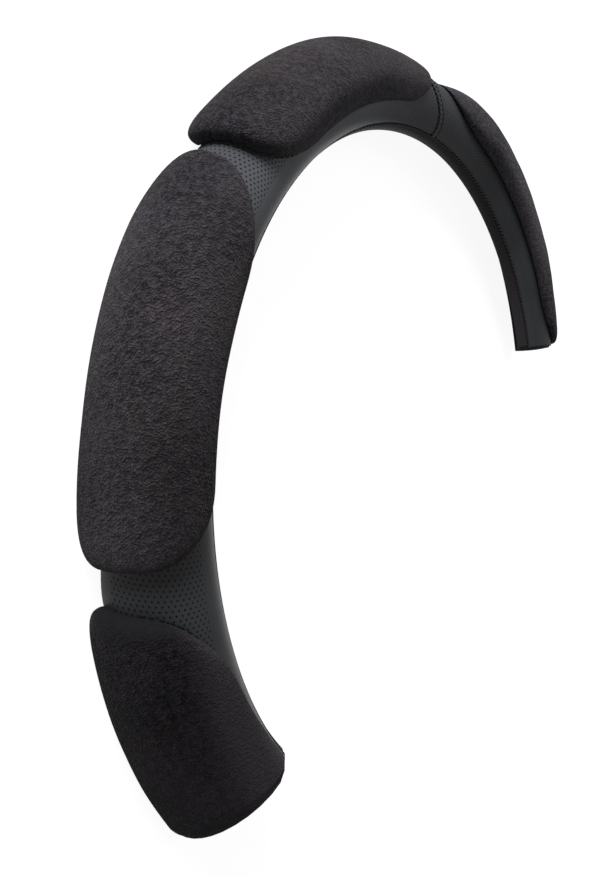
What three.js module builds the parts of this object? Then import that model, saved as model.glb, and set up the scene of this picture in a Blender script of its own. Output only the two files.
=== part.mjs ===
import * as THREE from 'three';

// Padded steering wheel cover, one open half of a two-half set.
// Millimetres.  The wheel axis is Z, the driver's face looks to +Z, and 12 o'clock is +Y.
// "theta" runs round the wheel from 3 o'clock, and "phi" runs round the rim's own section:
// 0 faces away from the axis, 90 the driver, 180 the hub and -90 the dashboard.

// The rim that the cover goes on
const RIM_CENTRE_R = 176;
const RIM_TUBE_R = 15;
const RIM_FIT = 0.2;

// Layers, from the rim outwards
const SEAT_GAP = 0.3;
const LINER_T = 1.5;
const LEATHER_T = 1.2;
const SUEDE_T = 1.0;
const LINER_IN = RIM_TUBE_R + RIM_FIT;
const LINER_OUT = LINER_IN + LINER_T;
const LEATHER_IN = LINER_OUT + SEAT_GAP;
const LEATHER_OUT = LEATHER_IN + LEATHER_T;
const PAD_SEAT = 0.4;
const PAD_BASE_R = LEATHER_OUT + PAD_SEAT;

// Ends of the arc and the cross seam between the two leather panels
const END_RIGHT = 29.3;
const END_LEFT = 228.8;
const LINER_SHOWS = 0.28;
const SEAM_FRONT_THETA = 101;
const SEAM_OUTER_THETA = 107;
const SEAM_BEND_FROM = 50;
const SEAM_BEND_TO = 160;
const SEAM_OPEN = 0.12;

// The left end is cut on a slant: it runs on towards the hub and the dashboard
const CUT_FROM = 204;
const CUT_AHEAD = 13.5;
const CUT_FALL = 11;
const CUT_LEAN = 7.8;

// Edges round the section: the mouth faces the hub and the dashboard
const LIP_FRONT = 172.4;
const LINER_FRONT = 174.6;
const STITCH_FRONT = 151;
const LEATHER_BACK = -41;
const LINER_BACK = -43;
const HEM_GAP = 0.3;
const EDGE_ROUND = 0.45;

// Pads: extent on the sleeve, and the fillings' swell
const PAD_PHI_BACK = -37;
const PAD_PLAN_R = RIM_CENTRE_R + 10;
const PAD_RISE_OUTER = 7.5;
const PAD_RISE_FRONT = 7.4;
const RISE_FROM = 15;
const RISE_TO = 75;
const FOAM_GAP = 0.35;
const FOAM_LIFT = 0.3;

// Each pad: the arc it covers, its front edge round the section, the four corners as
// [along, across] radii in mm in the order start-front, end-front, end-back, start-back, the
// facets of its sides and end wall, its start edge's lean and its end's flare in mm, and where
// its filling thins as [thinnest at, full from, share of the rise left]
const PADS = [
  {
    name: 'pad_right', theta: [29.9, 100.0], front: 103, flat: false, sides: 12, endWall: 3,
    corners: [[36, 17], [50, 19], [42, 16], [12, 10]], lean: 0, flare: 0, thin: [100, 82, 0.3],
  },
  {
    name: 'pad_top', theta: [106.2, 154.4], front: 107, flat: false, sides: 7, endWall: 3,
    corners: [[22, 16], [38, 22], [12, 10], [16, 12]], lean: 7, flare: 0, thin: [106, 137, 0.3],
  },
  {
    name: 'pad_left', theta: [157.8, 198.3], front: 96, flat: false, sides: 7, endWall: 3,
    corners: [[38, 21], [24, 18], [14, 11], [28, 17]], lean: 4, flare: 0, thin: [199, 190, 0.92],
  },
  {
    name: 'pad_lower', theta: [203.6, 227.6], front: 100, flat: true, sides: 4, endWall: 12,
    corners: [[44, 22], [1.5, 1.5], [1.5, 1.5], [12, 10]], lean: 3.5, flare: 8.5, thin: [203, 210, 0.92],
  },
];
const THIN_FRONT_FROM = 92;
const THIN_FRONT_TO = 130;
const THIN_FRONT_LEFT = 0.35;
const START_WALL = 3;
const CORNER_FACETS = 5;

// Edge roll of a cover from its seam inwards: [distance in from the seam, share of the rise],
// drawn for a pad of this half width; wider pads spread the rings past the roll
const ROLL_HALF_W = 22;
const ROLL_OVER = 4.6;
const ROLL = [
  [0, 0], [-0.9, 0.25], [-0.9, 0.5], [0.6, 0.78], [4.2, 0.96], [10.5, 1.02], [16.8, 1.04],
  [20.4, 1.05],
];
const ROLL_INSIDE = [
  [SUEDE_T, 0], [0.4, 0.32], [1.8, 0.76], [6.5, 0.97], [14.5, 1.03], [20.4, 1.05],
];
const FOAM_BASE = [5.6, 9.3, 13.0, 16.7, 20.4];
// A flat end keeps its wall upright this far in from the seam
const FLAT_END = 4.5;

// Facets
const STATION_STEP = 5.6;
const SLEEVE_STEP = 16.8;
const HEM_STEP = 12;
const SEAM_LENGTHS = 3;

const rad = THREE.MathUtils.degToRad;

/** Angle in degrees that a length takes at radius r. */
function degrees(length, r) {
  return THREE.MathUtils.radToDeg(length / r);
}

/** Point at angle theta round the wheel, and at phi and radius r in the rim's section. */
function onRim(theta, phi, r) {
  const reach = RIM_CENTRE_R + r * Math.cos(rad(phi));
  return [reach * Math.cos(rad(theta)), reach * Math.sin(rad(theta)), r * Math.sin(rad(phi))];
}

/** Theta moved on towards the left end so that the end is cut on its slant at phi. */
function cutAt(theta, phi) {
  const share = Math.max(0, (theta - CUT_FROM) / (END_LEFT - CUT_FROM));
  const along = CUT_AHEAD - CUT_FALL * Math.sin(rad(phi)) - CUT_LEAN * Math.cos(rad(phi));
  return theta + share * degrees(along, RIM_CENTRE_R);
}

/** Equal steps from a to b, none longer than the given step. */
function steps(a, b, step) {
  const n = Math.max(1, Math.ceil(Math.abs(b - a) / step));
  return Array.from({ length: n + 1 }, (_, i) => a + ((b - a) * i) / n);
}

// Shared stations, so that facets of neighbouring layers lie parallel
const STATIONS = steps(END_RIGHT, END_LEFT, STATION_STEP);
const SLEEVE_PHIS = steps(STITCH_FRONT, LEATHER_BACK, SLEEVE_STEP);
const SEAM_HALF = degrees(EDGE_ROUND + HEM_GAP / 2, (LEATHER_IN + LEATHER_OUT) / 2);

/** Closed mesh from a list of points and faces of three or four corners. */
function solid(name, points, faces, color) {
  const index = [];
  for (const f of faces) {
    index.push(f[0], f[1], f[2]);
    if (f.length === 4) {
      index.push(f[0], f[2], f[3]);
    }
  }
  const geometry = new THREE.BufferGeometry();
  geometry.setAttribute('position', new THREE.Float32BufferAttribute(points.flat(), 3));
  geometry.setIndex(index);
  geometry.computeVertexNormals();
  const material = new THREE.MeshStandardMaterial({ color, roughness: 0.8 });
  material.name = name;
  const mesh = new THREE.Mesh(geometry, material);
  mesh.name = name;
  return mesh;
}

/** Strip swept round the wheel between two skins; phis run downwards from the driver's side. */
function strip(name, color, stations, thetaAt, phis, inner, outer) {
  const m = phis.length;
  const middle = (inner + outer) / 2;
  const nose = degrees(EDGE_ROUND, middle);
  const loop = [
    ...phis.map((phi) => [phi, outer]),
    [phis[m - 1] - nose, middle],
    ...phis.slice().reverse().map((phi) => [phi, inner]),
    [phis[0] + nose, middle],
  ];
  const points = [];
  for (let k = 0; k < stations; k += 1) {
    for (const [phi, r] of loop) {
      points.push(onRim(thetaAt(k, phi), phi, r));
    }
  }
  const n = loop.length;
  const faces = [];
  for (let k = 0; k < stations - 1; k += 1) {
    for (let i = 0; i < n; i += 1) {
      const j = (i + 1) % n;
      faces.push([k * n + i, k * n + j, (k + 1) * n + j, (k + 1) * n + i]);
    }
  }
  const cap = [];
  for (let i = 0; i < m - 1; i += 1) {
    cap.push([i, i + 1, 2 * m - i - 1, 2 * m - i]);
  }
  cap.push([m - 1, m, m + 1], [0, 2 * m, 2 * m + 1]);
  const end = (stations - 1) * n;
  for (const f of cap) {
    faces.push(f.map((i) => i + end), f.slice().reverse());
  }
  return solid(name, points, faces, color);
}

/** Where the cross seam lies round the wheel, for a place round the section. */
function seamTheta(phi) {
  const bend = THREE.MathUtils.smoothstep(phi, SEAM_BEND_FROM, SEAM_BEND_TO);
  return THREE.MathUtils.lerp(SEAM_OUTER_THETA, SEAM_FRONT_THETA, bend);
}

/** Leather panel from one end of the arc to the cross seam, on the given side of the seam. */
function panel(name, color, side) {
  const clear = (t) => (side > 0 ? t > SEAM_OUTER_THETA + 1 : t < SEAM_FRONT_THETA - 1);
  const plain = STATIONS.filter(clear);
  const edge = side > 0 ? plain[0] : plain[plain.length - 1];
  const shares = Array.from({ length: SEAM_LENGTHS }, (_, i) => (i + 1) / SEAM_LENGTHS);
  const bent = shares.map((f) => (phi) => {
    return THREE.MathUtils.lerp(edge, seamTheta(phi) + side * SEAM_OPEN, f);
  });
  const straight = plain.map((t) => (phi) => cutAt(t, phi));
  const list = side > 0 ? [...bent.reverse(), ...straight] : [...straight, ...bent];
  const phis = SLEEVE_PHIS.slice(1);
  phis.unshift(STITCH_FRONT - SEAM_HALF);
  return strip(name, color, list.length, (k, phi) => list[k](phi), phis, LEATHER_IN, LEATHER_OUT);
}

/** Hem strip that runs the whole arc between two places round the section. */
function hem(name, color, phiA, phiB) {
  const phis = steps(phiA, phiB, HEM_STEP);
  const thetaAt = (k, phi) => cutAt(STATIONS[k], phi);
  return strip(name, color, STATIONS.length, thetaAt, phis, LEATHER_IN, LEATHER_OUT);
}

/** Moulded liner: runs the whole arc and shows a little past the leather all round. */
function liner(name, color) {
  const list = STATIONS.slice(1, -1);
  list.unshift(END_RIGHT - LINER_SHOWS);
  list.push(END_LEFT + LINER_SHOWS);
  const front = steps(LINER_FRONT, STITCH_FRONT, HEM_STEP).slice(0, -1);
  const phis = [...front, ...SLEEVE_PHIS, LINER_BACK];
  const thetaAt = (k, phi) => cutAt(list[k], phi);
  return strip(name, color, list.length, thetaAt, phis, LINER_IN, LINER_OUT);
}

/** Rise of a pad's crown: a little more on the driver's side, and less where it thins. */
function rise(pad, theta, phi) {
  const { lerp, smoothstep } = THREE.MathUtils;
  const [thinnest, full, least] = pad.thin;
  const filled = lerp(least, 1, smoothstep((theta - thinnest) / (full - thinnest), 0, 1));
  const inward = lerp(1, THIN_FRONT_LEFT, smoothstep(phi, THIN_FRONT_FROM, THIN_FRONT_TO));
  return filled * inward * lerp(PAD_RISE_OUTER, PAD_RISE_FRONT, smoothstep(phi, RISE_FROM, RISE_TO));
}

/** Seam outline of a pad, drawn in by a step: points [along, across] in mm from its middle. */
function outline(pad, step) {
  const halfL = (rad(pad.theta[1] - pad.theta[0]) * PAD_PLAN_R) / 2;
  const halfW = (rad(pad.front - PAD_PHI_BACK) * PAD_BASE_R) / 2;
  const d = step + (Math.max(0, step - ROLL_OVER) * (halfW - ROLL_HALF_W)) / (ROLL_HALF_W - ROLL_OVER);
  const endIn = pad.flat ? Math.max(0.3 * d, Math.min(1.4 * d, FLAT_END + (d - FLAT_END) * 0.4)) : d;
  const box = { left: d - halfL, right: halfL - endIn, top: halfW - d, bottom: d - halfW };
  const signs = [[-1, 1], [1, 1], [1, -1], [-1, -1]];
  const corner = signs.map(([sx, sy], i) => {
    const [rx, ry] = pad.corners[i];
    const x = Math.max(0.4, Math.min(rx - d, (box.right - box.left) / 2 - 0.4));
    const y = Math.max(0.3, Math.min(ry - d, (box.top - box.bottom) / 2 - 0.2));
    const cx = (sx < 0 ? box.left : box.right) - sx * x;
    const cy = (sy < 0 ? box.bottom : box.top) - sy * y;
    return { cx, cy, x, y };
  });
  const points = [];
  const arc = (c, from, to) => {
    for (let i = 0; i <= CORNER_FACETS; i += 1) {
      const a = rad(from + ((to - from) * i) / CORNER_FACETS);
      points.push([c.cx + c.x * Math.cos(a), c.cy + c.y * Math.sin(a)]);
    }
  };
  const line = (x0, y0, x1, y1, n) => {
    for (let i = 1; i < n; i += 1) {
      points.push([x0 + ((x1 - x0) * i) / n, y0 + ((y1 - y0) * i) / n]);
    }
  };
  const [sf, ef, eb, sb] = corner;
  arc(sf, 180, 90);
  line(sf.cx, box.top, ef.cx, box.top, pad.sides);
  arc(ef, 90, 0);
  line(box.right, ef.cy, box.right, eb.cy, pad.endWall);
  arc(eb, 0, -90);
  line(eb.cx, box.bottom, sb.cx, box.bottom, pad.sides);
  arc(sb, -90, -180);
  line(box.left, sb.cy, box.left, sf.cy, START_WALL);
  return points.map(([x, y]) => {
    const spread = THREE.MathUtils.smoothstep(x / (2 * halfL) + 0.5, 0.35, 1);
    const flared = y > 0 ? y * (1 + (pad.flare * spread) / halfW) : y;
    return [x + (pad.lean * y * (0.5 - x / (2 * halfL))) / halfW, flared];
  });
}

/** One ring of a pad, d in from the seam, at a share of the rise less a drop, plus a lift. */
function ring(pad, d, share, drop, lift = 0) {
  const midTheta = (pad.theta[0] + pad.theta[1]) / 2;
  const midPhi = (PAD_PHI_BACK + pad.front) / 2;
  return outline(pad, d).map(([x, y]) => {
    const theta = midTheta + degrees(x, PAD_PLAN_R);
    const phi = midPhi + degrees(y, PAD_BASE_R);
    const height = lift + share * (rise(pad, theta, phi) - drop);
    return onRim(cutAt(theta, phi), phi, PAD_BASE_R + height);
  });
}

/** Faces over rings that widen for the first few, then narrow; both narrow ends are closed. */
function dress(rings, pad, widening) {
  const n = rings[0].length;
  const faces = [];
  for (let k = 0; k < rings.length - 1; k += 1) {
    for (let i = 0; i < n; i += 1) {
      const j = (i + 1) % n;
      const quad = [k * n + i, k * n + j, (k + 1) * n + j, (k + 1) * n + i];
      // facets of nested skins lie parallel when their diagonals run the same way
      faces.push(k < widening ? quad : [...quad.slice(1), quad[0]]);
    }
  }
  // the front side's points, 0 to chain - 1, meet the back side's, and each end wall is fanned
  const chain = pad.sides + 2 * CORNER_FACETS + 1;
  const lid = [];
  for (let i = 0; i < chain - 1; i += 1) {
    lid.push([i, i + 1, n - START_WALL - 1 - i, n - START_WALL - i]);
  }
  for (let i = 1; i < START_WALL; i += 1) {
    lid.push([0, n - START_WALL - 1 + i, n - START_WALL + i]);
  }
  for (let i = 1; i < pad.endWall; i += 1) {
    lid.push([chain - 1, chain - 1 + i, chain + i]);
  }
  const last = (rings.length - 1) * n;
  for (const f of lid) {
    faces.push([f[0], ...f.slice(1).reverse()], f.map((i) => i + last));
  }
  return faces;
}

/** Suede cover of a pad: a puffed shell, open underneath where it is sewn down. */
function padCover(pad, color) {
  const outer = ROLL.map(([d, share]) => ring(pad, d, share, 0)).reverse();
  const inner = ROLL_INSIDE.map(([d, share]) => ring(pad, d, share, SUEDE_T));
  const rings = [...outer, ...inner];
  return solid(`${pad.name}_cover`, rings.flat(), dress(rings, pad, outer.length), color);
}

/** Foam filling of a pad, seated on the sleeve and clear of its cover. */
function padFoam(pad, color) {
  const crown = ROLL_INSIDE.map(([d, share]) => {
    return ring(pad, d + FOAM_GAP, share, SUEDE_T + FOAM_GAP, FOAM_LIFT * (1 - share));
  });
  const base = FOAM_BASE.map((d) => ring(pad, d + FOAM_GAP, 0, 0, FOAM_LIFT));
  const rings = [...crown.reverse(), ...base];
  return solid(`${pad.name}_foam`, rings.flat(), dress(rings, pad, crown.length), color);
}

const LEATHER_COLOR = 0x30383a;
const HEM_COLOR = 0x2c3335;
const LINER_COLOR = 0x141414;
const FOAM_COLOR = 0x55504a;
const SUEDE_COLOR = 0x2f2c2f;

const cover = new THREE.Group();
cover.name = 'steering_wheel_cover';
cover.add(liner('liner', LINER_COLOR));
cover.add(panel('leather_left', LEATHER_COLOR, 1));
cover.add(panel('leather_right', LEATHER_COLOR, -1));
cover.add(hem('hem_strip', HEM_COLOR, LIP_FRONT, STITCH_FRONT + SEAM_HALF));
for (const pad of PADS) {
  cover.add(padFoam(pad, FOAM_COLOR));
  cover.add(padCover(pad, SUEDE_COLOR));
}

export default cover;
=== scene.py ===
# %% [markdown]
# # A padded cover for a steering wheel, dressed for its picture
# The solids of the cover are already built in millimetres and packed as a fixed frame.  Here each
# of its pieces gets the surface that the eye knows it by: perforated leather, a plain hem, thread
# and four puffed suede pads.  Everything is in metres, the wheel's axis is Z, and the driver looks
# at the cover from +Z.

# %% The frame
import math
import bpy
import numpy as np
from mathutils import Matrix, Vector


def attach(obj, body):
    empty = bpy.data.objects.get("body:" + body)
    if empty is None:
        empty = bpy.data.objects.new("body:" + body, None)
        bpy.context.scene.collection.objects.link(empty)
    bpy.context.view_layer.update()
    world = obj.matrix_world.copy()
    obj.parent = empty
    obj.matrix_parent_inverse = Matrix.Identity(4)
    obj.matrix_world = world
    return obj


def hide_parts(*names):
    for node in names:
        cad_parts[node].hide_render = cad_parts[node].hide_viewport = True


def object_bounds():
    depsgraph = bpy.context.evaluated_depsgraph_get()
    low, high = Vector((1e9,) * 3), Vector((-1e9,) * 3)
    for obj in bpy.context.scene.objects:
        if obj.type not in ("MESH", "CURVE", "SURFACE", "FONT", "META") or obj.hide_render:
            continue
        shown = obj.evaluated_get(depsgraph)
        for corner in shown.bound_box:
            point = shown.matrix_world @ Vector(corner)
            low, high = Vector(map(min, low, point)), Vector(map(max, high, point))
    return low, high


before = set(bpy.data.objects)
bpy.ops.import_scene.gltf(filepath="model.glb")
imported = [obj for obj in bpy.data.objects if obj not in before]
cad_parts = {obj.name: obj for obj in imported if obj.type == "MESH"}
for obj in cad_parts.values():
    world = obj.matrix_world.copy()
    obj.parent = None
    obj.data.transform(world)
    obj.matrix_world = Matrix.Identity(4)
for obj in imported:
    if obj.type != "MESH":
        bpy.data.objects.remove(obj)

cad_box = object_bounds()
print("solids:", len(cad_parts), "box", [round(v, 4) for v in (*cad_box[0], *cad_box[1])])

# %% [markdown]
# ## Places on the rim
# The real cover is sewn from flat pieces and bent round the wheel, so nearly all of it lies on a
# tube that bends in a circle.  The pieces could be modelled straight and bent by a modifier, but
# every seam would then have to be found again on the bent mesh.  One map from angles to points
# serves them all instead: `theta` runs round the wheel, `phi` runs round the tube's own section,
# and `r` is the distance from the tube's centre line.  What all the layers share is in the map
# too: the slanted cut of the lower left end, the slight slant of the right end's trim, and the
# sleeve's narrow waist beside the cross seam.

# %% Sizes of the layers
RIM_R = 0.176
LINER_IN, LINER_OUT = 0.0152, 0.0167
SKIN_IN, SKIN_OUT = 0.0170, 0.0182
PAD_BASE = 0.0186
END_RIGHT, END_LEFT = 29.3, 228.8
LINER_LIP, LIP, STITCH, SKIN_BACK, LINER_BACK = 174.6, 172.4, 152.5, -41.0, -43.0
LINER_PAST = 0.28
CUT_FROM, CUT_AHEAD, CUT_FALL, CUT_LEAN = 204.0, 0.0135, 0.011, 0.0078
TRIM_FROM, TRIM_IN, TRIM_BACK, TRIM_ALL = 50.0, 0.456, -1.576, -0.723
PINCH, PINCH_AT, PINCH_WIDE = 0.20, 100.0, 5.5
PINCH_PHI = 70, 10
print("skin, across its section:", round(2 * SKIN_OUT * 1000, 1), "mm")


# %% The map from angles to points
def smooth(x, a, b):
    """3t2 - 2t3, with t running from 0 at a to 1 at b and held there beyond them."""
    t = np.clip((x - a) / (b - a), 0, 1)
    return t * t * (3 - 2 * t)


def bell(distance, width):
    """e to the power of minus the squared ratio: 1 on the line, near 0 from two widths on."""
    return np.exp(-((distance / width) ** 2))


def cut_at(theta, phi):
    """theta, slid along the rim by the ends: past CUT_FROM by a growing share of the left end's
    slant, a length over RIM_R, and before TRIM_FROM by a growing share of the right end's trim,
    in degrees."""
    sin, cos = np.sin(np.radians(phi)), np.cos(np.radians(phi))
    cut = np.maximum(0, (theta - CUT_FROM) / (END_LEFT - CUT_FROM))
    slant = np.degrees((CUT_AHEAD - CUT_FALL * sin - CUT_LEAN * cos) / RIM_R)
    trim = np.maximum(0, (TRIM_FROM - theta) / (TRIM_FROM - END_RIGHT))
    return theta + cut * slant + trim * (TRIM_IN * sin + TRIM_BACK * cos + TRIM_ALL)


def on_rim(theta, phi, r):
    """Points for arrays of theta, phi and r: the centre line's point at theta, plus r along the
    section's own direction at phi.  Beside the cross seam r is less by up to a share PINCH of
    itself, on the side away from the hub."""
    theta, phi, r = np.broadcast_arrays(np.asarray(theta, float), phi, r)
    r = r * (1 - PINCH * bell(theta - PINCH_AT, PINCH_WIDE) * smooth(phi, *PINCH_PHI))
    t, p = np.radians(cut_at(theta, phi)), np.radians(phi)
    reach = RIM_R + r * np.cos(p)
    return np.stack([reach * np.cos(t), reach * np.sin(t), r * np.sin(p)], -1)


print("12 o'clock, front of the skin:", on_rim(90, 90, SKIN_OUT).round(4))

# %% [markdown]
# ## From a table of points to a mesh
# A surface here is a table of points with a row for each step one way and a column for each step
# the other way.  Vertices and faces could be added one by one with bmesh, but the faces between
# neighbours follow from the table's shape alone, so they are counted out in one go.  A map of
# lengths along and across goes in as UVs, for patterns that must follow the leather.


# %% Mesh maker
def grid_faces(rows, cols, ring):
    """Quads between neighbours in a rows by cols table of points counted row by row.  With ring,
    the last column is joined to the first."""
    i = np.arange(rows - 1)[:, None]
    j = np.arange(cols if ring else cols - 1)[None, :]
    k = (j + 1) % cols
    corners = [i * cols + j, i * cols + k, (i + 1) * cols + k, (i + 1) * cols + j]
    return np.stack(corners, -1).reshape(-1, 4)


def make_mesh(name, points, faces, uv=None):
    """Object from points, faces as lists of point numbers, and one uv pair a point."""
    mesh = bpy.data.meshes.new(name)
    mesh.from_pydata(points.reshape(-1, 3).tolist(), [], faces)
    mesh.polygons.foreach_set("use_smooth", np.ones(len(mesh.polygons), bool))
    if uv is not None:
        corner = np.empty(len(mesh.loops), np.int32)
        mesh.loops.foreach_get("vertex_index", corner)
        layer = mesh.uv_layers.new(name="lengths")
        layer.data.foreach_set("uv", uv.reshape(-1, 2)[corner].astype(np.float32).ravel())
    piece = bpy.data.objects.new(name, mesh)
    bpy.context.scene.collection.objects.link(piece)
    return piece


def shifted(faces, by):
    """The same faces, by a number of points further on."""
    return [[v + by for v in face] for face in faces]


print("a table of 3 by 4 points has", len(grid_faces(3, 4, False)), "faces")

# %% [markdown]
# Leather and liner have a thickness that shows at every cut.  A Solidify modifier would give a
# wall with square corners, and cut leather is rounded, so the shell is worked out whole: out over
# the outer skin, round a half circle, back along the inner skin and round the other half circle.

# %% Shell maker
EDGE_TURN = np.radians([60.0, 30.0, 0.0, -30.0, -60.0])


def swept_shell(name, theta, phi, outer, inner):
    """Closed shell over tables of theta, phi and the two radii.  Each row becomes a loop of both
    skins and both round edges, and rows are joined by quads.  The first and last loops are closed
    by quads from skin to skin and by one polygon at each round edge."""
    phi = np.broadcast_to(phi, theta.shape)
    half, mid = (outer - inner) / 2, (outer + inner) / 2

    def edge(col, sign, order):
        """Half circle past a column: half the wall's thickness times the cosine goes away from
        it, as an angle, and times the sine goes across it."""
        h, m = half[:, col][:, None], mid[:, col][:, None]
        away = sign * np.degrees(h * np.cos(EDGE_TURN) / m)
        return (theta[:, col][:, None] + 0 * away, phi[:, col][:, None] + away,
                m + order * h * np.sin(EDGE_TURN))

    out, back = (theta, phi, outer), (theta[:, ::-1], phi[:, ::-1], inner[:, ::-1])
    parts = zip(out, edge(-1, -1, 1), back, edge(0, 1, -1))
    loop_theta, loop_phi, loop_r = (np.concatenate(part, 1) for part in parts)
    rows, cols = loop_phi.shape
    n, e = theta.shape[1], len(EDGE_TURN)
    a = np.arange(n - 1)
    end = np.stack([a, a + 1, 2 * n + e - 2 - a, 2 * n + e - 1 - a], 1).tolist()
    end += [list(range(n - 1, n + e + 1)), [*range(cols - 1, 2 * n + e - 2, -1), 0]]
    faces = grid_faces(rows, cols, True).tolist() + [face[::-1] for face in end]
    faces += shifted(end, (rows - 1) * cols)
    uv = np.stack([np.radians(loop_theta) * RIM_R, np.radians(loop_phi) * SKIN_OUT], -1)
    return make_mesh(name, on_rim(loop_theta, loop_phi, loop_r), faces, uv)


def table(theta_a, theta_b, rows, phi_a, phi_b, cols):
    """Even tables of theta, which runs down, and phi, which runs across."""
    theta = np.linspace(theta_a, theta_b, rows)[:, None] + np.zeros((1, cols))
    return theta, np.linspace(phi_a, phi_b, cols)[None, :] + np.zeros((rows, 1))


print("points round a shell's edge:", len(EDGE_TURN))

# %% [markdown]
# ## The liner
# The real cover grips the rim with a moulded rubber channel.  Little of it shows: a thin black
# line past the lip of the leather, the cut ends, and the inside of the channel from behind.  The
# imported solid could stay, but its facets would show along the thin line, so it is swept again
# with finer steps, from a little before one end of the leather to a little past the other.

# %% Liner
theta, phi = table(END_RIGHT - LINER_PAST, END_LEFT + LINER_PAST, 220, LINER_LIP, LINER_BACK, 60)
liner = swept_shell("moulded_liner", theta, phi, LINER_OUT + 0 * theta, LINER_IN + 0 * theta)
print("liner faces:", len(liner.data.polygons))

# %% [markdown]
# ## Leather panels
# Two panels of perforated leather meet at a cross seam near the top.  Leather turns in at a seam,
# so the edge along the hem and the edge along the cross seam both dip, and the folded allowance
# under the right panel shows as a low ridge with a crease beside it.  Such forms could be
# sculpted, but each one is a bell curve of the distance to its seam, so the skin's radius is
# their sum.  The cross seam swings round the rim, so each row of the table is bent a little more
# towards it, and rows and columns lie closer where the dips are.

# %% Relief of the leather
SEAM_FRONT, SEAM_OUTER = 101.0, 107.0
SEAM_SWING = 50, 160
SETTLE = 0.0001
HEM_DIP, HEM_DIP_WIDE = 0.00055, 0.0009
CROSS_DIP, CROSS_DIP_WIDE = 0.0006, 0.0008
RIDGE, RIDGE_AT, RIDGE_WIDE = 0.0003, -0.0024, 0.0014
CREASE, CREASE_AT, CREASE_WIDE = 0.0004, -0.0048, 0.0006
SWELL, SWELL_AT, SWELL_WIDE = 0.0012, 202.5, 3.0
SWELL_PHI = 30, -10
UNEVEN = 0.00010


def seam_theta(phi):
    """Where the cross seam lies: SEAM_OUTER up to the first phi of SEAM_SWING, SEAM_FRONT from
    the second, and an S curve between them."""
    return SEAM_OUTER + (SEAM_FRONT - SEAM_OUTER) * smooth(phi, *SEAM_SWING)


def leather_skin(theta, phi):
    """Outer radius: SKIN_OUT, less a bell at either seam, with a ridge and a crease beside the
    cross seam, a swell of the outer flank before the lowest pad, and a faint product of sines."""
    to_hem = np.radians(STITCH - phi) * SKIN_OUT
    to_cross = np.radians(theta - seam_theta(phi)) * RIM_R
    dips = HEM_DIP * bell(to_hem, HEM_DIP_WIDE) + CROSS_DIP * bell(to_cross, CROSS_DIP_WIDE)
    fold = (RIDGE * bell(to_cross - RIDGE_AT, RIDGE_WIDE)
            - CREASE * bell(to_cross - CREASE_AT, CREASE_WIDE))
    swell = SWELL * bell(theta - SWELL_AT, SWELL_WIDE) * smooth(phi, *SWELL_PHI)
    uneven = UNEVEN * np.sin(np.radians(theta * 9 + phi)) * np.sin(np.radians(phi * 2.3))
    return SKIN_OUT - SETTLE - dips + fold + swell + uneven


print("cross seam, front to outer flank:", seam_theta(np.array([160, 50])))

# %% Leather panels
BESIDE_STITCH, HEM_CLOSE, HEM_PLAIN = 1.6, 10, 137
SEAM_SLIT = 0.10


def panel(name, side):
    """Panel on one side of the cross seam, left for 1 and right for -1.  Its rows run from the
    bent seam to the end of the arc, and theta grows down the table on either side."""
    by_hem = STITCH - BESIDE_STITCH - np.linspace(0, 1, 14) ** 1.3 * HEM_CLOSE
    phi = np.concatenate([by_hem, np.linspace(HEM_PLAIN, SKIN_BACK, 90)])
    by_seam = np.linspace(0, 1, 26) ** 1.4 * 0.05
    share = np.concatenate([by_seam, np.linspace(0.055, 1, 170)])[:, None]
    seam = seam_theta(phi) + side * SEAM_SLIT
    theta = (seam + ((END_LEFT if side > 0 else END_RIGHT) - seam) * share)[::side]
    outer = leather_skin(theta, phi[None, :])
    return swept_shell(name, theta, phi[None, :], outer, SKIN_IN + 0 * outer)


leather_left, leather_right = panel("leather_left_skin", 1), panel("leather_right_skin", -1)
print("leather faces:", len(leather_left.data.polygons), len(leather_right.data.polygons))

# %% [markdown]
# ## Hem strip
# Along the inner edge a plain strip is turned round the lip of the liner and sewn down flat.  It
# is the same kind of shell as the panels, one long narrow band.  A strip that is held along both
# edges stands up between them by a hair, so its radius gets a low arch over its width.

# %% Hem strip
HEM_LOW, HEM_ARCH = 0.0004, 0.0003
theta, phi = table(END_RIGHT, END_LEFT, 240, LIP, STITCH + BESIDE_STITCH, 22)
arch = np.sin(np.pi * (phi - STITCH - BESIDE_STITCH) / (LIP - STITCH - BESIDE_STITCH))
outer = SKIN_OUT - HEM_LOW + HEM_ARCH * np.clip(arch, 0, 1)
hem = swept_shell("hem_roll", theta, phi, outer, SKIN_IN + 0 * outer)
print("hem faces:", len(hem.data.polygons))

# %% [markdown]
# ## Thread
# A stitch is a short thick thread that dips into the leather at both ends.  A curve with a bevel
# and an array along a path would make a row, but every stitch here must stand on the skin where
# it is.  So one stitch is worked out as a small closed tube, and copies of it are laid between
# pairs of end points, all in one array.  The row along the hem is a plain running stitch, which
# sinks into its groove towards the left.


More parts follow.
